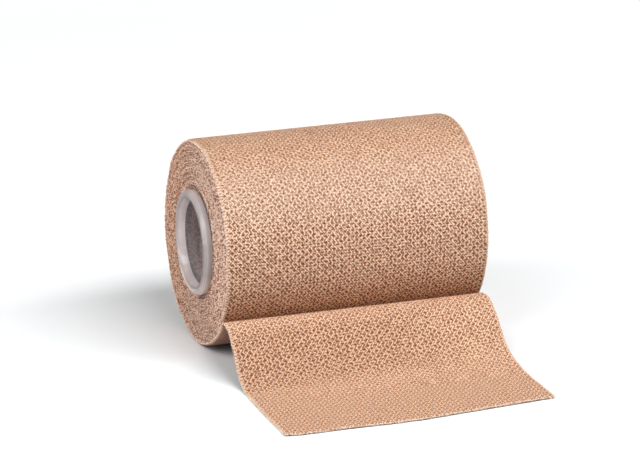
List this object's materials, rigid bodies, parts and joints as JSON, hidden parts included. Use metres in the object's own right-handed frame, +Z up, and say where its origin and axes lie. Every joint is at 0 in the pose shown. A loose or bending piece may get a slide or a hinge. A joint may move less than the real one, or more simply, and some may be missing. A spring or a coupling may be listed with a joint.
{
  "type": "elastic adhesive bandage roll",
  "caption": "Wide elastic bandage cloth wound on a hollow plastic core, its loose end peeled off at the front and lying flat on the surface.",
  "frame": {"origin": "middle of the bottom of the bounding box, on the surface the roll and its loose end rest on", "axes": "+X along the core, -Y towards the loose end's cut edge, +Z up"},
  "size_m": [0.1046, 0.1396, 0.0755],
  "materials": {
    "cloth": "tan crepe weave, matt",
    "core_plastic": "pale grey, slightly see-through, satin"
  },
  "bodies": {
    "root": {"wound_roll": "cloth", "loose_end": "cloth", "core_tube": "core_plastic"}
  },
  "joints": []
}
